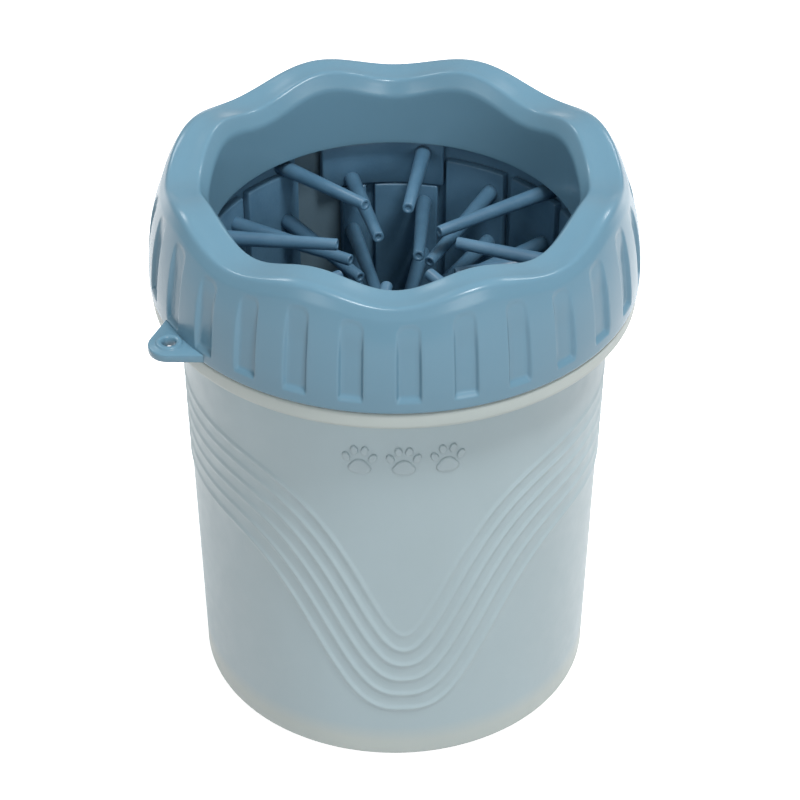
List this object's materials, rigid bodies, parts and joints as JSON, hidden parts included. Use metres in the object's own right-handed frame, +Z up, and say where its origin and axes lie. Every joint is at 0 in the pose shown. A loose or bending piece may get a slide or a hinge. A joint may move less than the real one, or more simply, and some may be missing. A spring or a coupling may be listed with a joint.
{
  "type": "paw washer cup",
  "caption": "Milky plastic cup with a wavy-rimmed screw collar and a soft sleeve of inward bristles that scrub a dog's paw in water.",
  "frame": {"origin": "centre of the cup's flat underside", "axes": "+Z up along the cup's axis, -Y towards the front, the hanging eyelet at the front left"},
  "size_m": [0.11, 0.11, 0.1341],
  "materials": {
    "milky_plastic": "milky translucent polypropylene, satin",
    "blue_plastic": "steel-blue moulded polypropylene, satin sheen",
    "soft_blue_rubber": "soft steel-blue thermoplastic rubber, matt",
    "seal_rubber": "pale grey silicone rubber"
  },
  "bodies": {
    "cup": {"cup": "milky_plastic"},
    "seal": {"seal_ring": "seal_rubber"},
    "collar": {"screw_collar": "blue_plastic"},
    "insert": {"insert_sleeve": "soft_blue_rubber", "brush_pad_01": "soft_blue_rubber", "brush_pad_02": "soft_blue_rubber", "brush_pad_03": "soft_blue_rubber", "brush_pad_04": "soft_blue_rubber", "brush_pad_05": "soft_blue_rubber", "brush_pad_06": "soft_blue_rubber", "brush_pad_07": "soft_blue_rubber", "brush_pad_08": "soft_blue_rubber", "brush_pad_09": "soft_blue_rubber", "brush_pad_10": "soft_blue_rubber", "brush_pad_11": "soft_blue_rubber", "brush_pad_12": "soft_blue_rubber", "brush_pad_13": "soft_blue_rubber", "brush_pad_14": "soft_blue_rubber", "brush_pad_15": "soft_blue_rubber", "brush_pad_16": "soft_blue_rubber", "closure_tongue": "soft_blue_rubber"}
  },
  "joints": [
    {"name": "collar_rise", "type": "slide", "parent": "cup", "child": "seal", "axis": [0, 0, 1], "range_m": [0, 0.009]},
    {"name": "collar_turn", "type": "hinge", "parent": "seal", "child": "collar", "pos_m": [0, 0, 0.1071], "axis": [0, 0, 1], "range_deg": [0, 810]},
    {"name": "insert_turn", "type": "hinge", "parent": "cup", "child": "insert", "pos_m": [0, 0, 0.0044], "axis": [0, 0, 1], "continuous": true}
  ],
  "couplings": [
    {"joint": "collar_rise", "follows": "collar_turn", "m_per_rad": 0.0006366}
  ]
}
